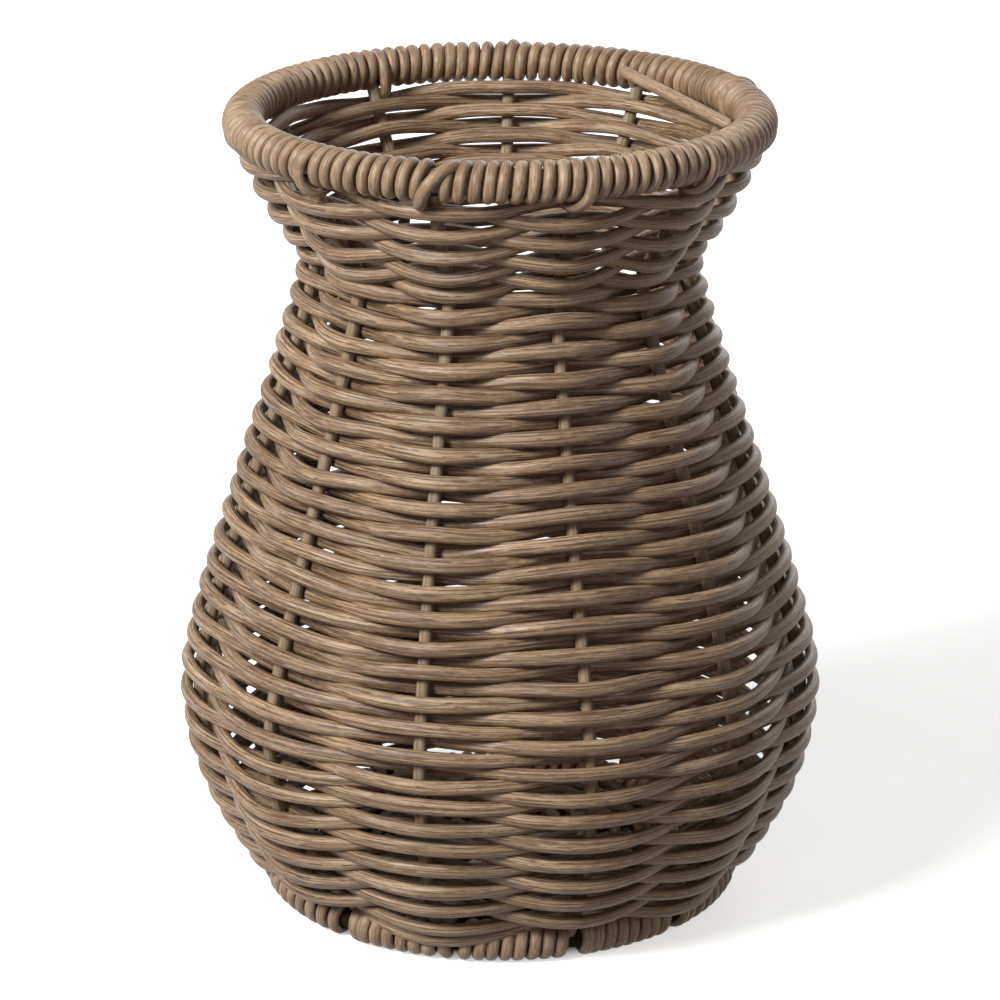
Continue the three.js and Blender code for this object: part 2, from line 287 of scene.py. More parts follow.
def rattan(name, dark, red, middle, light, grey, roughness, lined=1.0, mottled=1.0, specular=0.45, blotch=28):
    """`middle` and `light` are the cane's own colours, `grey` is for light streaks along the grain and for patches of
    painted sheen, and `red` and `dark` are for spots, lines and grooves, `dark` also for painted shade on the sides of
    close turns. `lined` and `mottled` weaken or strengthen what lies along the cane and the spots on it, and `blotch`
    is the length in millimetres of its lighter and darker stretches."""
    material = bpy.data.materials.new(name)
    material.use_nodes = True
    tree = material.node_tree
    shader = tree.nodes["Principled BSDF"]
    shader.inputs["Specular IOR Level"].default_value = specular

    def attribute(label):
        node = tree.nodes.new("ShaderNodeAttribute")
        node.attribute_name = label
        return node

    grain = attribute("grain").outputs["Vector"]

    def noise(along, across, detail, rough=0.5):
        stretch = tree.nodes.new("ShaderNodeVectorMath")
        stretch.operation = "MULTIPLY"
        stretch.inputs[1].default_value = (along, across, across)
        texture = tree.nodes.new("ShaderNodeTexNoise")
        texture.inputs["Scale"].default_value = 1
        texture.inputs["Detail"].default_value = detail
        texture.inputs["Roughness"].default_value = rough
        tree.links.new(grain, stretch.inputs[0])
        tree.links.new(stretch.outputs[0], texture.inputs["Vector"])
        return texture.outputs["Fac"]

    def ramp(source, low, high):
        """0 at low and 1 at high."""
        return map_range(tree, source, (low, high), interpolation="SMOOTHSTEP")

    def mix(factor, first, second, share=1.0):
        node = tree.nodes.new("ShaderNodeMix")
        node.data_type = "RGBA"
        tree.links.new(maths(tree, "MULTIPLY", factor, share), node.inputs["Factor"])
        for socket, value in ((node.inputs["A"], first), (node.inputs["B"], second)):
            if isinstance(value, tuple):
                socket.default_value = (*value, 1)
            else:
                tree.links.new(value, socket)
        return node.outputs["Result"]

    def ridges(count, length, low, high):
        """Dark lines between the ridges that run along a cane: they wander a little and break off now and then."""
        parts = tree.nodes.new("ShaderNodeSeparateXYZ")
        tree.links.new(grain, parts.inputs[0])
        angle = maths(tree, "ARCTAN2", parts.outputs["Y"], parts.outputs["Z"])
        stray = maths(tree, "MULTIPLY", noise(along=0.012, across=0.9, detail=1), RIDGE_STRAY)
        wave = maths(tree, "SINE", maths(tree, "ADD", maths(tree, "MULTIPLY", angle, count), stray))
        unbroken = ramp(noise(along=1 / length, across=2.4, detail=2), low, high)
        return maths(tree, "MULTIPLY", ramp(wave, 0.35, 0.95), unbroken)

    def lines(along, across, count, width, low, high):
        """Fine lines along the grain, which part and meet like a wood's: 1 on a line, where they aren't broken off."""
        levels = maths(tree, "MULTIPLY", noise(along, across, detail=1.5, rough=0.45), count)
        away = maths(tree, "PINGPONG", levels, 0.5)
        unbroken = ramp(noise(along * 4, across * 1.3, detail=2), low, high)
        return maths(tree, "MULTIPLY", ramp(away, width, width * 0.25), unbroken)

    blotches = noise(along=1 / blotch, across=0.6, detail=3)
    fibres = noise(along=0.05, across=6, detail=3, rough=0.6)
    mottle = noise(along=0.28, across=4, detail=3, rough=0.65)
    sheen_patches = noise(along=0.05, across=1.0, detail=2)
    shade = maths(tree, "ADD", blotches, attribute("tone").outputs["Fac"])

    # From the broad to the fine: stretches, spots, grey streaks, patches of painted sheen, fibres, ridges, fine lines,
    # and grooves with painted shade on the sides of close turns.
    colour = mix(ramp(shade, 0.36, 0.66), middle, light)
    colour = mix(ramp(mottle, 0.52, 0.64), colour, light, 0.55 * mottled)
    colour = mix(ramp(mottle, 0.48, 0.36), colour, red, 0.55 * mottled)
    colour = mix(lines(0.016, 1.7, count=6, width=0.22, low=0.36, high=0.5), colour, grey, 0.4 * lined)
    # Painted sheen: grey patches where the cane would shine under the lamps. The same patches are a little smoother.
    colour = mix(ramp(sheen_patches, 0.56, 0.68), colour, grey, 0.5)
    colour = mix(ramp(fibres, 0.56, 0.40), colour, middle, 0.7)
    colour = mix(ridges(count=11, length=28, low=0.36, high=0.54), colour, red, 0.78 * lined)
    colour = mix(ridges(count=12, length=8, low=0.47, high=0.57), colour, dark, 0.8 * lined)
    colour = mix(lines(0.010, 1.5, count=5, width=0.17, low=0.40, high=0.52), colour, dark, 0.6 * lined)
    colour = mix(lines(0.030, 2.3, count=5, width=0.15, low=0.46, high=0.54), colour, red, 0.7 * lined)
    # Darker in the grooves, and painted shade on the sides of the bindings' close turns, both from the groove
    # attribute.
    colour = mix(attribute("groove").outputs["Fac"], colour, dark, GROOVE_AND_SIDE_SHADE_DARKNESS)
    tree.links.new(colour, shader.inputs["Base Color"])

    rough_to_smooth = (roughness + ROUGHNESS_SPREAD, roughness - ROUGHNESS_SPREAD)
    tree.links.new(map_range(tree, sheen_patches, (0, 1), rough_to_smooth), shader.inputs["Roughness"])

    bump = tree.nodes.new("ShaderNodeBump")
    bump.inputs["Strength"].default_value = BUMP_STRENGTH
    bump.inputs["Distance"].default_value = BUMP_DEPTH
    tree.links.new(fibres, bump.inputs["Height"])
    tree.links.new(bump.outputs["Normal"], shader.inputs["Normal"])
    return material


WEAVE_RATTAN = rattan(
    "weave_rattan", dark=(0.042, 0.017, 0.008), red=(0.118, 0.053, 0.025), middle=(0.270, 0.166, 0.088),
    light=(0.500, 0.340, 0.195), grey=(0.55, 0.440, 0.350), roughness=0.49,
)
WRAP_RATTAN = rattan(
    "wrap_rattan", dark=(0.060, 0.028, 0.013), red=(0.130, 0.064, 0.032), middle=(0.281, 0.176, 0.098),
    light=(0.498, 0.344, 0.212), grey=(0.52, 0.408, 0.307), roughness=0.46, lined=0.3, mottled=1.5, blotch=4,
)
STAKE_RATTAN = rattan(
    "stake_rattan", dark=(0.085, 0.050, 0.027), red=(0.150, 0.088, 0.050), middle=(0.300, 0.214, 0.136),
    light=(0.415, 0.314, 0.206), grey=(0.45, 0.37, 0.28), roughness=0.6, lined=0.4, mottled=0.6, specular=0.2,
)
# Near black: painted shade for the foot hoop, which shows only between the binding's turns and in its spaces at the
# stakes.
HOOP_SHADE_RATTAN = rattan(
    "hoop_shade_rattan", dark=(0.010, 0.006, 0.004), red=(0.014, 0.008, 0.005), middle=(0.024, 0.015, 0.009),
    light=(0.038, 0.025, 0.016), grey=(0.042, 0.030, 0.021), roughness=0.9, lined=0.3, specular=0.06,
)
# Darker than the weave, as painted shade: for the base inside the vase and for the rim hoop between the binding's
# turns.
SHADED_RATTAN = rattan(
    "shaded_rattan", dark=(0.06, 0.032, 0.018), red=(0.11, 0.056, 0.030), middle=(0.20, 0.128, 0.074),
    light=(0.32, 0.220, 0.135), grey=(0.40, 0.32, 0.25), roughness=0.55, lined=0.7,
)


# Canes: a grooved round section swept along a line.
GROOVES = (4, 7, 9)
GROOVE_SHARES = (0.35, 0.4, 0.45)
GROOVE_TWIST = 0.12
GROOVE_TWIST_RANGE = (0.6, 1.0)
GROOVE_WAVE_MM = (45, 90)
GROOVE_SHARPNESS = 1.4
GROOVE_DEPTH = 0.16 * MM
SHALLOW_GROOVE_DEPTH = 0.1 * MM
WRAP_GROOVE_DEPTH = 0.09 * MM
# The painted shade on a cane's sides starts here, as the sine of the place round its section.
SIDE_SHADE_START = 0.75
GRAIN_OFFSET_MM = 5000


def groove_field(along, angle):
    """Depth from 0 to 1 of the shallow grooves that run along a cane and wander a little round it."""
    field = 0
    for count, share in zip(GROOVES, GROOVE_SHARES):
        phase = rng.uniform(0, 2 * math.pi)
        reach = rng.uniform(*GROOVE_TWIST_RANGE)
        wave = rng.uniform(*GROOVE_WAVE_MM) * MM
        drift = reach * np.sin(along / wave + rng.uniform(0, 2 * math.pi))
        field = field + share * np.cos(count * angle[None, :] + phase + drift[:, None] * count * GROOVE_TWIST)
    return np.clip(field, 0, 1) ** GROOVE_SHARPNESS


def squared(wave, fullness):
    return np.sign(wave) * np.abs(wave) ** fullness


def add_piece(name, node, material, points, quads, ends, sides, attributes):
    mesh = bpy.data.meshes.new(name)
    corners = np.concatenate([quads.ravel(), *ends])
    starts = np.concatenate([np.arange(len(quads)) * 4, len(quads) * 4 + np.arange(len(ends)) * sides])
    mesh.vertices.add(len(points))
    mesh.vertices.foreach_set("co", points.astype(np.float32).ravel())
    mesh.loops.add(len(corners))
    mesh.polygons.add(len(starts))
    mesh.loops.foreach_set("vertex_index", corners.astype(np.int32))
    mesh.polygons.foreach_set("loop_start", starts.astype(np.int32))
    mesh.update(calc_edges=True)
    for label, kind, field, values in attributes:
        mesh.attributes.new(label, kind, "POINT").data.foreach_set(field, values.astype(np.float32).ravel())
    smooth = np.ones(len(starts), bool)
    smooth[len(quads):] = False
    mesh.polygons.foreach_set("use_smooth", smooth)
    mesh.materials.append(material)
    piece = bpy.data.objects.new(name, mesh)
    bpy.context.scene.collection.objects.link(piece)
    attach(piece, "root")
    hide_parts(node)


def cane(node, line, outward, half_out, half_up, material, tone=0.0, part="cane", closed=False,
         groove=GROOVE_DEPTH, sides=SIDES, half_in=None, fullness=1.0, painted_side_shade=0.0):
    """A cane along `line`. `outward` turns its section, and its half sizes are given outward and across. A fullness
    under 1 makes the section squarer, and a share of painted shade darkens its sides, where close turns shade each
    other."""
    count = len(line)
    if closed:
        along = unit(np.roll(line, -1, 0) - np.roll(line, 1, 0))
        steps = np.linalg.norm(line - np.roll(line, 1, 0), axis=1)
        steps[0] = 0
    else:
        along = unit(np.gradient(line, axis=0))
        steps = np.concatenate([[0], np.linalg.norm(np.diff(line, axis=0), axis=1)])
    run = np.cumsum(steps)
    out = unit(outward - along * np.sum(outward * along, axis=1, keepdims=True))
    up = np.cross(along, out)

    half_out = np.broadcast_to(half_out, count)
    half_in = half_out if half_in is None else np.broadcast_to(half_in, count)
    half_up = np.broadcast_to(half_up, count)
    angle = np.arange(sides) * 2 * math.pi / sides
    depth = groove_field(run, angle)
    shrink = 1 - depth * groove / half_out[:, None]
    reach = np.where(np.cos(angle)[None, :] > 0, half_out[:, None], half_in[:, None])
    ring_out = squared(np.cos(angle), fullness)[None, :] * reach * shrink
    ring_up = squared(np.sin(angle), fullness)[None, :] * half_up[:, None] * shrink
    rings = line[:, None, :] + out[:, None, :] * ring_out[..., None] + up[:, None, :] * ring_up[..., None]

    ring = np.arange(count if closed else count - 1)[:, None]
    here = ring * sides
    there = (ring + 1) % count * sides
    side = np.arange(sides)[None, :]
    other = (side + 1) % sides
    quads = np.stack([here + side, there + side, there + other, here + other], -1).reshape(-1, 4)
    ends = [] if closed else [np.arange(sides), np.arange(sides)[::-1] + (count - 1) * sides]

    length = np.repeat(run / MM + rng.uniform(0, GRAIN_OFFSET_MM), sides)
    grain = np.stack([length, np.tile(np.cos(angle), count), np.tile(np.sin(angle), count)], -1)
    # Painted shade on the section's sides, where close turns shade each other, added to the grooves' depth in the
    # groove attribute.
    side_shade_mask = np.clip((np.abs(np.sin(angle)) - SIDE_SHADE_START) / (1 - SIDE_SHADE_START), 0, 1)
    attributes = (
        ("grain", "FLOAT_VECTOR", "vector", grain),
        ("tone", "FLOAT", "value", np.repeat(np.broadcast_to(tone, count), sides)),
        ("groove", "FLOAT", "value", np.clip(depth + painted_side_shade * side_shade_mask[None, :], 0, 1)),
    )
    add_piece(f"{node}_{part}", node, material, rings.reshape(-1, 3), quads, ends, sides, attributes)


# The wall's line, from the foot hoop up to the rim hoop. It starts and ends where the stakes meet the bindings.
WRAP_FLAT = 7.42 * MM
FOOT_CENTRE = (FOOT_RADIUS, WRAP_FLAT)
RIM_CENTRE = (RIM_RADIUS, RIM_CENTRE_HEIGHT)
RIM_FACET = -math.pi / 2 - RIM_LEAN


def beside(point, angle, distance):
    return (point[0] + distance * math.cos(angle), point[1] + distance * math.sin(angle))


def bezier(*corners):
    a, b, c, d = (np.array(corner) for corner in corners)
    t = np.linspace(0, 1, CURVE_POINTS)[:, None]
    return (1 - t) ** 3 * a + 3 * (1 - t) ** 2 * t * b + 3 * (1 - t) * t ** 2 * c + t ** 3 * d


def wall_line():
    """Radius and height, along three curves that meet at the belly and at the neck."""
    foot_seat = beside(FOOT_CENTRE, FOOT_FACET, WRAP_FLAT + CLEARANCE)
    rim_seat = beside(RIM_CENTRE, RIM_FACET, WRAP_FLAT + CLEARANCE)
    belly = (BELLY_RADIUS, BELLY_HEIGHT)
    neck = (NECK_RADIUS, NECK_HEIGHT)
    foot_pull = beside(foot_seat, FOOT_FACET, FOOT_REACH)
    rim_pull = beside(rim_seat, RIM_FACET, RIM_REACH)
    below_belly = (BELLY_RADIUS, BELLY_HEIGHT - BELLY_REACH_DOWN)
    above_belly = (BELLY_RADIUS, BELLY_HEIGHT + BELLY_REACH_UP)
    below_neck = (NECK_RADIUS, NECK_HEIGHT - NECK_REACH_DOWN)
    above_neck = (NECK_RADIUS, NECK_HEIGHT + NECK_REACH_UP)
    lower = bezier(foot_seat, foot_pull, below_belly, belly)
    middle = bezier(belly, above_belly, below_neck, neck)
    upper = bezier(neck, above_neck, rim_pull, rim_seat)
    return np.concatenate([lower, middle[1:], upper[1:]])


WALL = wall_line()
WALL_STARTS = np.concatenate([[0], np.cumsum(np.linalg.norm(np.diff(WALL, axis=0), axis=1))])
WALL_RUN = WALL_STARTS[-1]
WALL_ALONG = unit(np.gradient(WALL, WALL_STARTS, axis=0))
ROW_PITCH = (WALL_RUN - 2 * ROW_MARGIN) / TURNS


def wall_frame(azimuth, run, out):
    """A point `run` up the wall and `out` from it, and the direction that points out of the wall there."""
    radius = np.interp(run, WALL_STARTS, WALL[:, 0])
    z = np.interp(run, WALL_STARTS, WALL[:, 1])
    along_radius = np.interp(run, WALL_STARTS, WALL_ALONG[:, 0])
    along_z = np.interp(run, WALL_STARTS, WALL_ALONG[:, 1])
    past = run - np.clip(run, 0, WALL_RUN)
    radius = radius + along_radius * past + along_z * out
    z = z + along_z * past - along_radius * out
    return polar(azimuth, radius, z), polar(azimuth, along_z, -along_radius)


WANDER = 0.45 * DEGREE
WANDER_WAVES = 3
WANDER_RUN = 47 * MM


def wander(place, run):
    """How far the stakes stray from their even places, in radians."""
    return WANDER * np.sin(WANDER_WAVES * place * BAY + run / WANDER_RUN)


# Waves that the rows follow: height, waves round the vase, run up the wall for a radian, and phase.
SWAYS = (
    (0.5 * MM, 2, 38 * MM, 0),
    (0.3 * MM, 5, -21 * MM, 1),
)
# Where the rows were pushed up or down by hand, in degrees and millimetres: azimuth, height up the wall, how far up
# and down the wall the push reaches, and the push.
PUSHES = (
    (-15, 30, 42, 6.0),
    (-15, 258, 18, -0.8),
    (17, 50, 50, 1.0),
    (17, 155, 40, 4.4),
    (17, 258, 62, 2.6),
    (-60, 120, 40, 1.4),
    (60, 150, 40, -1.3),
    (125, 90, 40, 1.6),
    (-140, 200, 40, -1.5),
)
PUSH_REACH = 22 * DEGREE
SWAY_START = -4 * MM
SWAY_FADE = 16 * MM


def sway(azimuth, run):
    """How far the rows stray up and down the wall. Neighbouring rows stray together."""
    stray = 0
    for height, waves, wave_run, phase in SWAYS:
        stray = stray + height * np.sin(waves * azimuth + run / wave_run + phase)
    for facing, height, rise, push in PUSHES:
        aside = (azimuth - facing * DEGREE + math.pi) % (2 * math.pi) - math.pi
        near = np.exp(-((aside / PUSH_REACH) ** 2) - ((run - height * MM) / (rise * MM)) ** 4)
        stray = stray + push * MM * near
    fade_in = np.clip((run - SWAY_START) / SWAY_FADE, 0, 1)
    fade_out = np.clip((WALL_RUN - run) / SWAY_FADE, 0, 1)
    return stray * (fade_in * fade_out)


# Stakes.
STAKE_DIAMETER = 5.2 * MM
STAKE_BELOW_WALL = 2.6 * MM
STAKE_ABOVE_WALL = 2 * MM
STAKE_KNOTS = 12
STAKE_UNEVENNESS = 0.02
STAKE_TONE = 0.05


def add_stakes():
    for stake in range(STAKES):
        run = np.linspace(-STAKE_BELOW_WALL, WALL_RUN + STAKE_ABOVE_WALL, STAKE_POINTS)
        azimuth = stake_azimuth(stake) + wander(stake, run)
        line, outward = wall_frame(azimuth, run, 0)
        radius = STAKE_DIAMETER / 2 * (1 + smooth_noise(STAKE_KNOTS, len(run), STAKE_UNEVENNESS))
        tone = rng.normal(0, STAKE_TONE)
        cane(f"stake_{stake + 1:02d}", line, outward, radius, radius, STAKE_RATTAN, tone,
             groove=SHALLOW_GROOVE_DEPTH)


# The strand as it looks. It swings out and in past the stakes, flattened a little against them, and is squeezed
# between its neighbours halfway from stake to stake. Its height at a stake depends on the place up the wall, both in
# millimetres.
STRAND_HEIGHT_PLACES = (0, 200, 245, 275, 295, 320)
STRAND_HEIGHTS_AT_STAKE = (6.5, 6.3, 6.9, 6.9, 6.2, 5.8)
STRAND_HEIGHT_BETWEEN = 5.85 * MM
STRAND_DEPTH = 5.2 * MM
HALF_STRAND_AT_STAKE = 2.4 * MM
SWING = 5.0 * MM
STRAND_TONE = 0.03
# The last strand runs on under the rim for some crossings.
LAST_CROSSINGS = 4.3


def by_crossing(deviation, limit=math.inf):
    """A random value for each crossing, and for the two after the last."""
    return rng.normal(0, deviation, CROSSINGS + 2).clip(-limit, limit)


# The rows' chances are drawn before the stakes', so they are drawn here.
row_shift = by_crossing(0.7 * MM, limit=1.5 * MM)
row_thickness = by_crossing(0.05, limit=0.1)
row_tone = by_crossing(0.06)


def between_crossings(values, place):
    low = np.clip(np.floor(place).astype(int), 0, len(values) - 2)
    share = ease(np.clip(place - low, 0, 1))
    return values[low] * (1 - share) + values[low + 1] * share


def add_weavers():
    for strand in range(STRANDS):
        first = 2 * round(strand * CROSSINGS / (2 * STRANDS))
        last = 2 * round((strand + 1) * CROSSINGS / (2 * STRANDS))
        if strand == STRANDS - 1:
            last += LAST_CROSSINGS
        crossing = np.linspace(first, last, round((last - first) * STEPS_PER_BAY) + 1)
        at_stake = np.cos(crossing * math.pi) ** 2
        run = ROW_MARGIN + ROW_PITCH * crossing / STAKES
        place = WEAVE_START - crossing
        azimuth = stake_azimuth(place) + wander(place, run)
        run = run + sway(azimuth, run) + between_crossings(row_shift, crossing) * at_stake
        out = -np.cos(crossing * math.pi) * SWING
        line, outward = wall_frame(azimuth, run, out)
        thick = 1 + between_crossings(row_thickness, crossing)
        height = np.interp(run / MM, STRAND_HEIGHT_PLACES, STRAND_HEIGHTS_AT_STAKE) * MM
        half_up = (STRAND_HEIGHT_BETWEEN + (height - STRAND_HEIGHT_BETWEEN) * at_stake) / 2 * thick
        half_out = STRAND_DEPTH / 2 * thick
        half_in = np.where(out > 0, HALF_STRAND_AT_STAKE, half_out)
        tone = rng.normal(0, STRAND_TONE) + between_crossings(row_tone, crossing)
        cane(f"weaver_{strand + 1:02d}", line, outward, half_out, half_up, WEAVE_RATTAN, tone,
             half_in=half_in)


# The first end's height up the wall at the stake, its dip to each side, and its rise from end to end, in millimetres.
FIRST_END_HEIGHT = 0.4
FIRST_END_DIP = 1.2
FIRST_END_RISE = 0.5


def add_first_end():
    """The strand's first end shows below the lowest row at the front left, and goes inside the stakes beside."""
    place = np.linspace(1, -1, 2 * STEPS_PER_BAY + 1)
    outside = np.cos(place * math.pi)
    run = (FIRST_END_HEIGHT - FIRST_END_DIP * (1 - outside) / 2 + FIRST_END_RISE * place) * MM
    line, outward = wall_frame(stake_azimuth(place), run, outside * SWING)
    half_out = np.full(len(line), STRAND_DEPTH / 2)
    half_up = np.full(len(line), STRAND_HEIGHT_BETWEEN / 2)
    cane("weaver_01", line, outward, half_out, half_up, WEAVE_RATTAN, part="first_end")


# Hoops, and the bindings wound on them. A binding is round outside and thin inside, where it lies on its hoop. The
# foot's stands on the floor.
HOOP_DIAMETER = 9.6 * MM
WRAP_RADIUS = 8.4 * MM
FOOT_HOOP_CENTRE = (FOOT_RADIUS, WRAP_RADIUS)
HALF_WRAP_OUTSIDE = 2.6 * MM
HALF_WRAP_INSIDE = 0.8 * MM
# How much painted shade darkens a binding's sides, between its close turns.
WRAP_SIDE_SHADE = 0.9
WRAP_UNEVENNESS = 0.05
WRAP_TONE = 0.12

RIM_WRAP_WIDTH = 5.05 * MM
RIM_WRAP_FULLNESS = 0.97
RIM_LOOPS_PER_BAY = 11
RIM_PITCH = 2 * math.pi / (RIM_LOOPS_PER_BAY * STAKES)
RIM_PITCH_UNEVENNESS = 0.05
# Where the winding starts, by azimuth and by the place round the rim's section, and the part of a turn that it ends
# short of its start.
RIM_WRAP_START = 143 * DEGREE
RIM_WRAP_START_ANGLE = RIM_FACET + math.pi / 5
RIM_WRAP_END_GAP = 0.03

# How the winding strays where it binds a stake's head, as places round the rim's section: the angle, how far out
# in millimetres, and how many turns aside. Its neighbour on the left leans with it by a share.
SIDE_BINDING = ((-165, 0, 0), (-125, 1.4, -0.3), (-90, 2.2, -0.4), (-50, 0.8, -0.1), (0, 0, 0))
BINDINGS = {
    0: ((-165, 0, 0), (-125, 1.5, -0.3), (-90, 3.6, -0.75), (-50, 3.4, -0.6), (0, 3.0, -0.1),
        (40, 2.6, 0.8), (75, 0.3, 1.5), (120, 0, 1.1), (165, 0, 0)),
    1: ((-165, 0, 0), (-140, 1.5, -0.9), (-112, 3.6, -1.3), (-80, 4.4, -0.85), (-45, 3.0, -0.2),
        (0, 1.0, 0), (60, 0.4, 0), (120, 0, 0)),
    2: ((-165, 0, 0), (-120, 2.5, -1.1), (-85, 4.4, -1.0), (-45, 3.2, -0.35), (0, 1.2, 0),
        (50, 0.4, 0), (100, 0, 0)),
    3: SIDE_BINDING,
    4: ((-165, 0, 0), (-125, 1.4, -0.3), (-90, 2.2, -0.4), (-20, 2.4, 0), (25, 2.0, 0),
        (70, 0.3, 0), (110, 0, 0)),
    5: ((-230, 0, 0), (-170, 1.2, 0), (-135, 5.0, 0.5), (-108, 7.0, 0.9), (-80, 2.5, 0.3), (-50, 0, 0)),
    6: ((-250, 0, 0), (-200, 1.2, 0), (-150, 1.2, 0), (-100, 0.4, 0), (0, 0.6, 0), (90, 0.9, 0), (150, 0, 0)),
    7: ((-230, 0, 0), (-175, 1.6, 0), (-140, 3.6, -0.3), (-112, 5.4, -0.5), (-85, 2.0, -0.2), (-50, 0, 0)),
    8: SIDE_BINDING,
    9: SIDE_BINDING,
    10: ((-165, 0, 0), (-120, 3.0, 0.9), (-85, 4.6, 0.7), (-45, 3.2, -0.1), (0, 1.2, -0.2),
         (60, 0.4, 0), (110, 0, 0)),
}
NEIGHBOUR_SHARE = 0.12
BINDING_SIDE = -20 * DEGREE
# Some stakes are bound a turn before or after their own.
TURNS_ON = {1: 1, 6: -1, 10: 1}
SOFTENING = np.array([1, 3, 4, 3, 1]) / 12

FOOT_WRAP_WIDTH = 5.5 * MM
FOOT_WRAP_FULLNESS = 0.86
FOOT_WRAP_WIDTH_UNEVENNESS = 0.06
FOOT_LOOPS_PER_BAY = 8
FOOT_WRAP_STRAY = 0.25 * MM
# The parts of a turn that the winding adds before its first turn and after its last.
FOOT_WRAP_BEFORE = 0.5
FOOT_WRAP_AFTER = 0.1
# How far the spaces of the foot's binding stray from their stakes, half their width, and where the winding crosses
# them, as parts of a turn.
FOOT_SHIFTS = {10: 7 * DEGREE, 0: 4.8 * DEGREE, 1: 1.8 * DEGREE, 2: -0.6 * DEGREE, 9: 4 * DEGREE}
FOOT_MARGIN = 4.6 * MM
CROSSING_START = 0.05
CROSSING_TURN = 0.4
# The foot's last turn curls aside at its front.
FOOT_CURL = 2 * MM
FOOT_CURL_PLACE = 0.42
FOOT_CURL_REACH = 0.14


def hoop_line(hoop, azimuth, angle, distance):
    radius = hoop[0] + distance * np.cos(angle)
    z = hoop[1] + distance * np.sin(angle)
    return polar(azimuth, radius, z), polar(azimuth, np.cos(angle), np.sin(angle))


def add_hoop(node, hoop, material):
    azimuth = np.linspace(0, 2 * math.pi, HOOP_POINTS, endpoint=False)
    line, outward = hoop_line(hoop, azimuth, 0.0, 0.0)
    cane(node, line, outward, HOOP_DIAMETER / 2, HOOP_DIAMETER / 2, material, closed=True)


def add_wrap(node, hoop, azimuth, angle, out, width, width_unevenness, fullness, loops):
    count = len(angle)
    half_out = HALF_WRAP_OUTSIDE * (1 + smooth_noise(loops * 2, count, WRAP_UNEVENNESS))
    line, outward = hoop_line(hoop, azimuth, angle, WRAP_RADIUS - half_out + out)
    half_up = width / 2 * (1 + smooth_noise(loops * 2, count, width_unevenness))
    tone = smooth_noise(loops, count, WRAP_TONE)
    cane(node, line, outward, half_out, half_up, WRAP_RATTAN, tone, groove=WRAP_GROOVE_DEPTH,
         sides=FEWER_SIDES, half_in=HALF_WRAP_INSIDE, fullness=fullness, painted_side_shade=WRAP_SIDE_SHADE)


def add_rim_wrap():
    """The rim's winding. Beside each stake it reaches down round the stake's head and lies over its neighbour."""
    loops = RIM_LOOPS_PER_BAY * STAKES
    turn = np.linspace(0, loops - RIM_WRAP_END_GAP, loops * LOOP_STEPS + 1)
    azimuth = RIM_WRAP_START + turn * RIM_PITCH + smooth_noise(loops, len(turn), RIM_PITCH_UNEVENNESS * RIM_PITCH)
    angle = RIM_WRAP_START_ANGLE + turn * 2 * math.pi
    out = np.zeros(len(turn))
    aside = np.zeros(len(turn))
    for stake, knots in BINDINGS.items():
        past = (stake_azimuth(stake) - RIM_WRAP_START) % (2 * math.pi) / RIM_PITCH
        loop = round(past - (BINDING_SIDE - RIM_WRAP_START_ANGLE) / (2 * math.pi)) + TURNS_ON.get(stake, 0)
        angles, outs, asides = np.array(knots).T
        place = ((turn - loop) * 2 * math.pi + RIM_WRAP_START_ANGLE) / DEGREE
        next_place = ((turn - loop + 1) * 2 * math.pi + RIM_WRAP_START_ANGLE) / DEGREE
        out = out + np.interp(place, angles, outs, 0, 0)
        aside = aside + np.interp(place, angles, asides, 0, 0)
        aside = aside + NEIGHBOUR_SHARE * np.interp(next_place, angles, asides, 0, 0)
    out = np.convolve(out, SOFTENING, "same") * MM
    azimuth = azimuth + np.convolve(aside, SOFTENING, "same") * RIM_PITCH
    add_wrap("rim_wrap", RIM_CENTRE, azimuth, angle, out, RIM_WRAP_WIDTH, WRAP_UNEVENNESS, RIM_WRAP_FULLNESS, loops)


def foot_space(place):
    return stake_azimuth(place) + FOOT_SHIFTS.get(place % STAKES, 0)


def foot_wrap_azimuth(turn):
    """The winding goes on evenly in each bay, and crosses the space at the stake under the hoop."""
    spaces = np.array([foot_space(place) for place in range(STAKES + 1)])
    bay = np.clip(np.floor(turn / FOOT_LOOPS_PER_BAY).astype(int), 0, STAKES - 1)
    local = turn - bay * FOOT_LOOPS_PER_BAY
    margin = FOOT_MARGIN / FOOT_RADIUS
    pitch = (spaces[bay + 1] - spaces[bay] - 2 * margin) / (FOOT_LOOPS_PER_BAY - 1)
    crossing = np.maximum(0, local - (FOOT_LOOPS_PER_BAY - 1))
    crossed = ease(np.clip((crossing - CROSSING_START) / CROSSING_TURN, 0, 1))
    return spaces[bay] + margin + (local - crossing) * pitch + crossed * 2 * margin


def add_foot_wrap():
    loops = FOOT_LOOPS_PER_BAY * STAKES - 1
    turn = np.linspace(-FOOT_WRAP_BEFORE, loops + FOOT_WRAP_AFTER, loops * LOOP_STEPS + 1)
    azimuth = foot_wrap_azimuth(turn) + smooth_noise(loops, len(turn), FOOT_WRAP_STRAY / FOOT_RADIUS)
    curl = np.exp(-(((turn - loops + FOOT_CURL_PLACE) / FOOT_CURL_REACH) ** 2))
    azimuth = azimuth + FOOT_CURL / FOOT_RADIUS * curl
    angle = math.pi / 2 + turn * 2 * math.pi
    add_wrap("foot_wrap", FOOT_HOOP_CENTRE, azimuth, angle, 0, FOOT_WRAP_WIDTH, FOOT_WRAP_WIDTH_UNEVENNESS,
             FOOT_WRAP_FULLNESS, loops)


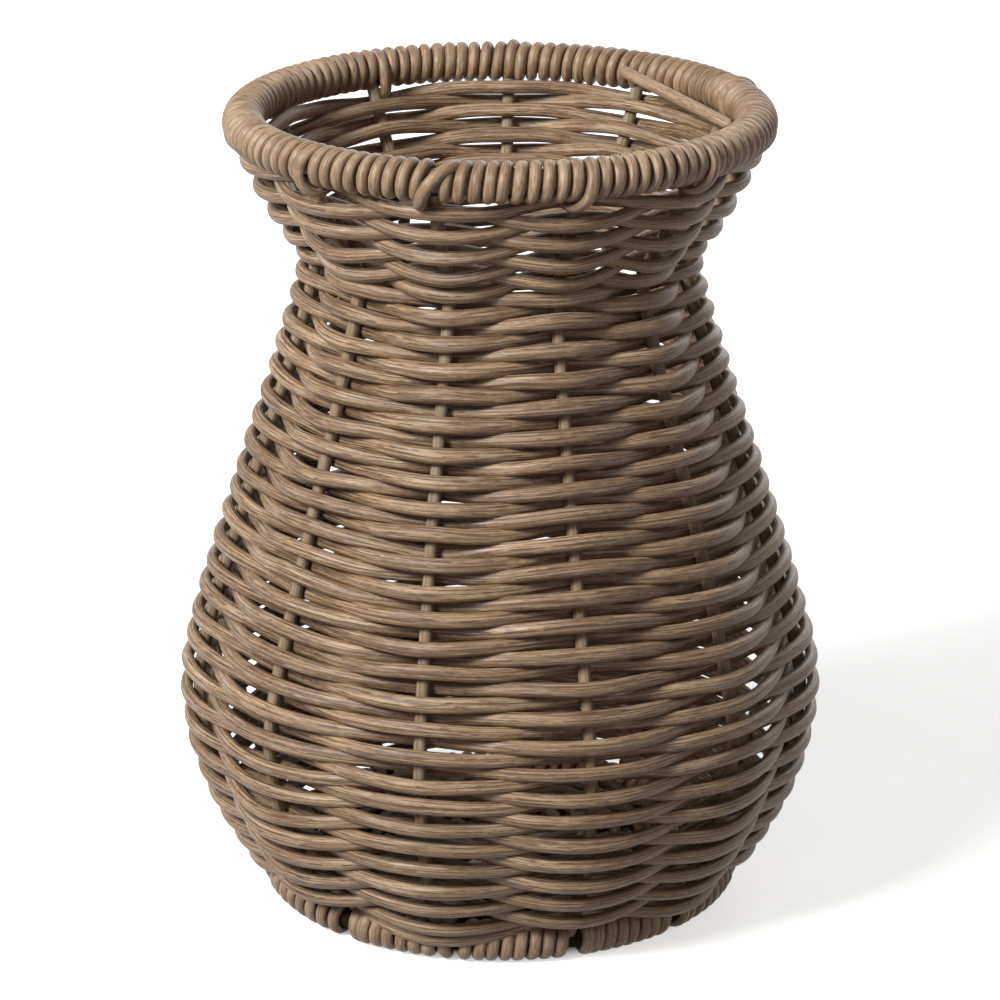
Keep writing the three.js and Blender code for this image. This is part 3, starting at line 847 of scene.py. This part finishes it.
# The rim winding's cut end lies inside the rim. Its ends are given by azimuth and by the place round the rim's
# section, and its tip is rounded, with closer points.
TAIL_DIAMETER = 5.0 * MM
TAIL_ENDS = (
    (146 * DEGREE, 172 * DEGREE),
    (100 * DEGREE, 222 * DEGREE),
)
TAIL_POINTS = 30
TAIL_TIP_POINTS = 14
TAIL_TIP = 3.5 * MM
TAIL_TIP_LEAST = 0.02
TAIL_TIP_SHARES = (0.945, 1)
TAIL_REST_SHARES = (0, 0.94)
TAIL_TONE = 0.12


def add_tail():
    ends = []
    for azimuth, facet in TAIL_ENDS:
        radius, z = beside(RIM_CENTRE, facet, WRAP_FLAT + CLEARANCE + TAIL_DIAMETER / 2)
        ends.append(polar(azimuth, radius, z))
    rest = np.linspace(*TAIL_REST_SHARES, TAIL_POINTS)
    tip = np.linspace(*TAIL_TIP_SHARES, TAIL_TIP_POINTS)
    share = np.concatenate([rest, tip])[:, None]
    line = ends[0] * (1 - share) + ends[1] * share
    left = np.linalg.norm(ends[1] - ends[0]) * (1 - share[:, 0])
    half = TAIL_DIAMETER / 2 * np.sqrt(1 - (1 - np.clip(left / TAIL_TIP, TAIL_TIP_LEAST, 1)) ** 2)
    cane("rim_wrap_tail", line, UPWARD, half, half, WRAP_RATTAN, TAIL_TONE, sides=FEWER_SIDES)


# The base: crossed sticks that fan out as spokes, and a strand woven round these.
BASE_HEIGHT = 10.26 * MM
BASE_STICK_DIAMETER = 4.5 * MM
BASE_STRAND_DIAMETER = 4.8 * MM
BASE_SPOKE_END = 81.92 * MM
CROSSED_HALF = 8 * MM
FAN_RADIUS = 24 * MM
BASE_WEAVE_START = 31 * MM
ROW_GAP = 0.45 * MM
BASE_STICK_TONE = 0.04
BASE_STRAND_TONE = 0.05
BASE_STRAND_KNOTS = 60
CORNER_CUTS = 4
SPOKE_FACING = stake_azimuth(0)
QUARTER = STAKES / 4
# The spokes that a stick's ends become, the spoke it crosses towards, its place beside its fellows, and its layer.
BASE_STICKS = (
    (0, None, 0, 0, 1),
    (1, 5, 0, 1, 1),
    (-1, -5, 0, -1, 1),
    (3, -3, QUARTER, 0, -1),
    (2, -2, QUARTER, -1, -1),
    (4, -4, QUARTER, 1, -1),
)


def smooth_through(points):
    """Rounds a line's corners by cutting them again and again."""
    points = np.asarray(points)
    for _ in range(CORNER_CUTS):
        near = points[:-1] * 0.75 + points[1:] * 0.25
        far = points[:-1] * 0.25 + points[1:] * 0.75
        inner = np.stack([near, far], 1).reshape(-1, 3)
        points = np.concatenate([points[:1], inner, points[-1:]])
    return points


def base_stick(start, end, facing, beside_fellow, layer):
    spacing = BASE_STICK_DIAMETER + CLEARANCE
    z = BASE_HEIGHT + layer * spacing / 2
    axis = SPOKE_FACING + facing * BAY
    offset = polar(axis + math.pi / 2, beside_fellow * spacing, 0.0)
    points = [
        polar(SPOKE_FACING + start * BAY, BASE_SPOKE_END, BASE_HEIGHT),
        polar(SPOKE_FACING + start * BAY, FAN_RADIUS, BASE_HEIGHT),
        polar(axis, CROSSED_HALF, z) + offset,
        polar(axis + math.pi, CROSSED_HALF, z) + offset,
    ]
    if end is not None:
        points.append(polar(SPOKE_FACING + end * BAY, FAN_RADIUS, BASE_HEIGHT))
        points.append(polar(SPOKE_FACING + end * BAY, BASE_SPOKE_END, BASE_HEIGHT))
    return points


def add_base_sticks():
    half = BASE_STICK_DIAMETER / 2
    for index, stick in enumerate(BASE_STICKS):
        tone = rng.normal(0, BASE_STICK_TONE)
        cane(f"base_stick_{index + 1:02d}", smooth_through(base_stick(*stick)), UPWARD, half, half,
             SHADED_RATTAN, tone, sides=FEWER_SIDES)


def add_base_weaver():
    pitch = BASE_STRAND_DIAMETER + ROW_GAP
    end = BASE_SPOKE_END - BASE_STRAND_DIAMETER / 2
    rows = int((end - BASE_WEAVE_START) / pitch)
    crossings = 2 * (rows * STAKES // 2)
    place = np.linspace(0, crossings, crossings * BASE_STEPS_PER_BAY + 1)
    radius = end - pitch * (crossings - place) / STAKES
    stand = (BASE_STICK_DIAMETER + BASE_STRAND_DIAMETER) / 2 + CLEARANCE
    lean = np.arctan(2 * stand / (radius * BAY))
    lift = -np.cos(place * math.pi) * stand / np.cos(lean)
    line = polar(SPOKE_FACING + place * BAY, radius, BASE_HEIGHT + lift)
    half = BASE_STRAND_DIAMETER / 2
    tone = smooth_noise(BASE_STRAND_KNOTS, len(place), BASE_STRAND_TONE)
    cane("base_weaver", line, UPWARD, half, half, SHADED_RATTAN, tone, sides=FEWER_SIDES)


add_stakes()
add_weavers()
add_first_end()
# The rim hoop takes the darker finish, painted shade where it shows between the binding's turns.
add_hoop("rim_hoop", RIM_CENTRE, SHADED_RATTAN)
# The foot hoop's near black finish is painted shade.
add_hoop("foot_hoop", FOOT_HOOP_CENTRE, HOOP_SHADE_RATTAN)
add_rim_wrap()
add_foot_wrap()
add_tail()
add_base_sticks()
add_base_weaver()
